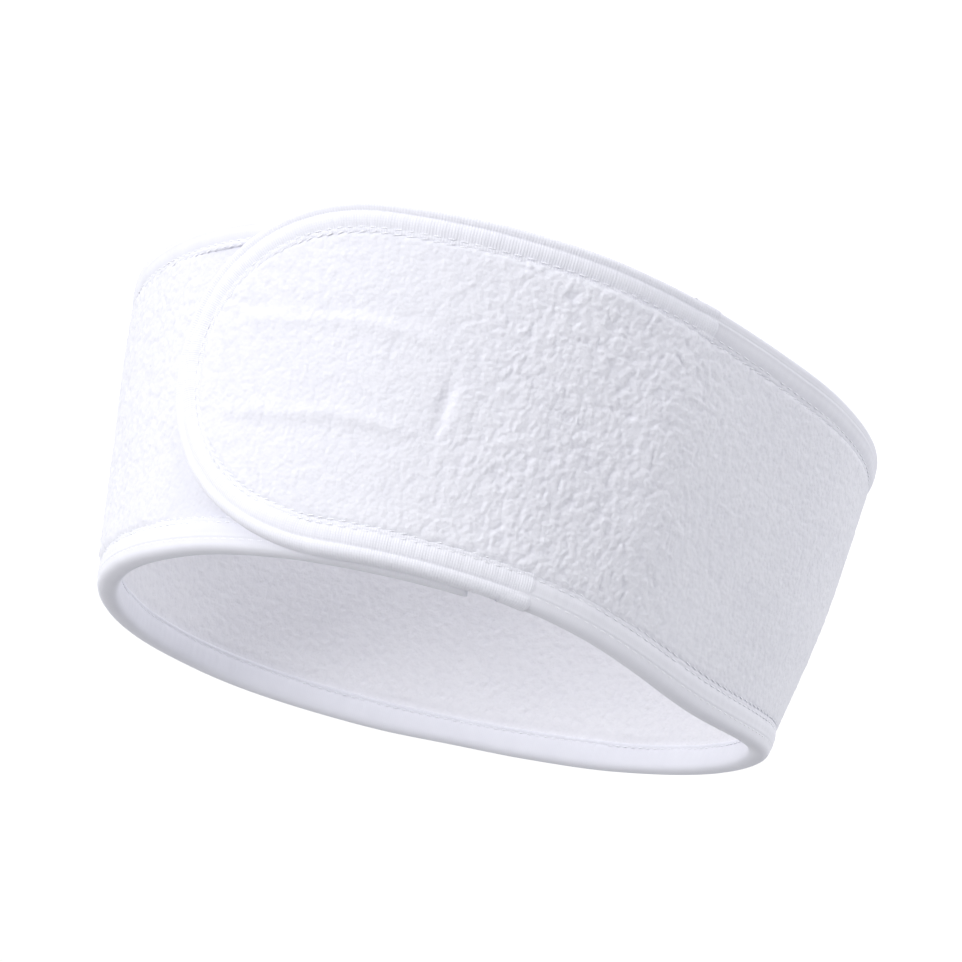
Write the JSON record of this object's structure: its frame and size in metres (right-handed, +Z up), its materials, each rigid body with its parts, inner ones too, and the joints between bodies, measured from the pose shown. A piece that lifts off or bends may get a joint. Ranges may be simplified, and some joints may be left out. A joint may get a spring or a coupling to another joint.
{
  "type": "sports headband",
  "caption": "Terry sports headband: a bound cloth strip closed into a ring by a rounded flap with hook-and-loop tape.",
  "frame": {"origin": "on the plane the wider rim stands on, under the middle of the whole object's box", "axes": "+Z up from the wider rim to the narrower crown rim, -Y to the front where the flap closes, +X the way the flap's tip points"},
  "size_m": [0.208, 0.1968, 0.09],
  "materials": {
    "terry_cloth": "looped pile",
    "lining_cloth": "short looped pile",
    "binding_tape": "ribbed knit",
    "thread": "matt thread",
    "hook_tape": "fine stiff hooks",
    "loop_tape": "brushed loops"
  },
  "bodies": {
    "back": {"back_terry_layer": "terry_cloth", "back_lining": "lining_cloth", "back_lower_binding": "binding_tape", "back_upper_binding": "binding_tape", "back_lower_stitching": "thread", "back_upper_stitching": "thread"},
    "left_back": {"left_back_terry_layer": "terry_cloth", "left_back_lining": "lining_cloth", "left_back_lower_binding": "binding_tape", "left_back_upper_binding": "binding_tape", "left_back_lower_stitching": "thread", "left_back_upper_stitching": "thread"},
    "left_side": {"left_side_terry_layer": "terry_cloth", "left_side_lining": "lining_cloth", "left_side_lower_binding": "binding_tape", "left_side_upper_binding": "binding_tape", "left_side_lower_stitching": "thread", "left_side_upper_stitching": "thread"},
    "left_front": {"left_front_terry_layer": "terry_cloth", "left_front_lining": "lining_cloth", "left_front_lower_binding": "binding_tape", "left_front_upper_binding": "binding_tape", "left_front_lower_stitching": "thread", "left_front_upper_stitching": "thread", "lower_binding_join": "binding_tape"},
    "flap_root": {"flap_root_terry_layer": "terry_cloth", "flap_root_lining": "lining_cloth", "flap_root_lower_binding": "binding_tape", "flap_root_upper_binding": "binding_tape", "flap_root_lower_stitching": "thread", "flap_root_upper_stitching": "thread", "upper_binding_join": "binding_tape"},
    "flap": {"flap_terry_layer": "terry_cloth", "flap_lining": "lining_cloth", "flap_binding": "binding_tape", "flap_stitching": "thread", "hook_tape": "hook_tape"},
    "right_back": {"right_back_terry_layer": "terry_cloth", "right_back_lining": "lining_cloth", "right_back_lower_binding": "binding_tape", "right_back_upper_binding": "binding_tape", "right_back_lower_stitching": "thread", "right_back_upper_stitching": "thread"},
    "right_side": {"right_side_terry_layer": "terry_cloth", "right_side_lining": "lining_cloth", "right_side_lower_binding": "binding_tape", "right_side_upper_binding": "binding_tape", "right_side_lower_stitching": "thread", "right_side_upper_stitching": "thread"},
    "tail": {"tail_terry_layer": "terry_cloth", "tail_lining": "lining_cloth", "tail_lower_binding": "binding_tape", "tail_upper_binding": "binding_tape", "tail_lower_stitching": "thread", "tail_upper_stitching": "thread", "loop_tape": "loop_tape", "tail_end_binding": "binding_tape", "tail_end_stitching": "thread"}
  },
  "joints": [
    {"name": "left_back_bend", "type": "hinge", "parent": "back", "child": "left_back", "pos_m": [-0.02038, 0.08954, 0.042], "axis": [-0.037, 0.0969, -0.9946], "range_deg": [0, 35.68]},
    {"name": "left_side_bend", "type": "hinge", "parent": "left_back", "child": "left_side", "pos_m": [-0.08582, 0.04874, 0.04202], "axis": [-0.1408, 0.0315, -0.9895], "range_deg": [0, 56.9]},
    {"name": "left_front_bend", "type": "hinge", "parent": "left_side", "child": "left_front", "pos_m": [-0.08661, -0.02782, 0.04443], "axis": [-0.1341, -0.0851, -0.9873], "range_deg": [0, 48]},
    {"name": "flap_root_bend", "type": "hinge", "parent": "left_front", "child": "flap_root", "pos_m": [-0.02849, -0.08124, 0.04251], "axis": [-0.0489, -0.1721, -0.9839], "range_deg": [0, 60.8]},
    {"name": "flap_peel", "type": "hinge", "parent": "flap_root", "child": "flap", "pos_m": [-0.00772, -0.08857, 0.04211], "axis": [-0.0166, -0.185, -0.9826], "range_deg": [0, 110]},
    {"name": "right_back_bend", "type": "hinge", "parent": "back", "child": "right_back", "pos_m": [0.05656, 0.08428, 0.042], "axis": [-0.0858, -0.0883, 0.9924], "range_deg": [0, 53.8]},
    {"name": "right_side_bend", "type": "hinge", "parent": "right_back", "child": "right_side", "pos_m": [0.09736, 0.0192, 0.042], "axis": [-0.1503, 0.0155, 0.9885], "range_deg": [0, 49.6]},
    {"name": "tail_bend", "type": "hinge", "parent": "right_side", "child": "tail", "pos_m": [0.07361, -0.05429, 0.042], "axis": [-0.1121, 0.1317, 0.9849], "range_deg": [0, 51.6]}
  ],
  "couplings": [
    {"joint": "left_side_bend", "follows": "left_back_bend", "ratio": 1.592},
    {"joint": "left_front_bend", "follows": "left_back_bend", "ratio": 1.3433},
    {"joint": "flap_root_bend", "follows": "left_back_bend", "ratio": 1.7024},
    {"joint": "right_back_bend", "follows": "left_back_bend", "ratio": 1.5046},
    {"joint": "right_side_bend", "follows": "left_back_bend", "ratio": 1.3886},
    {"joint": "tail_bend", "follows": "left_back_bend", "ratio": 1.4423}
  ]
}
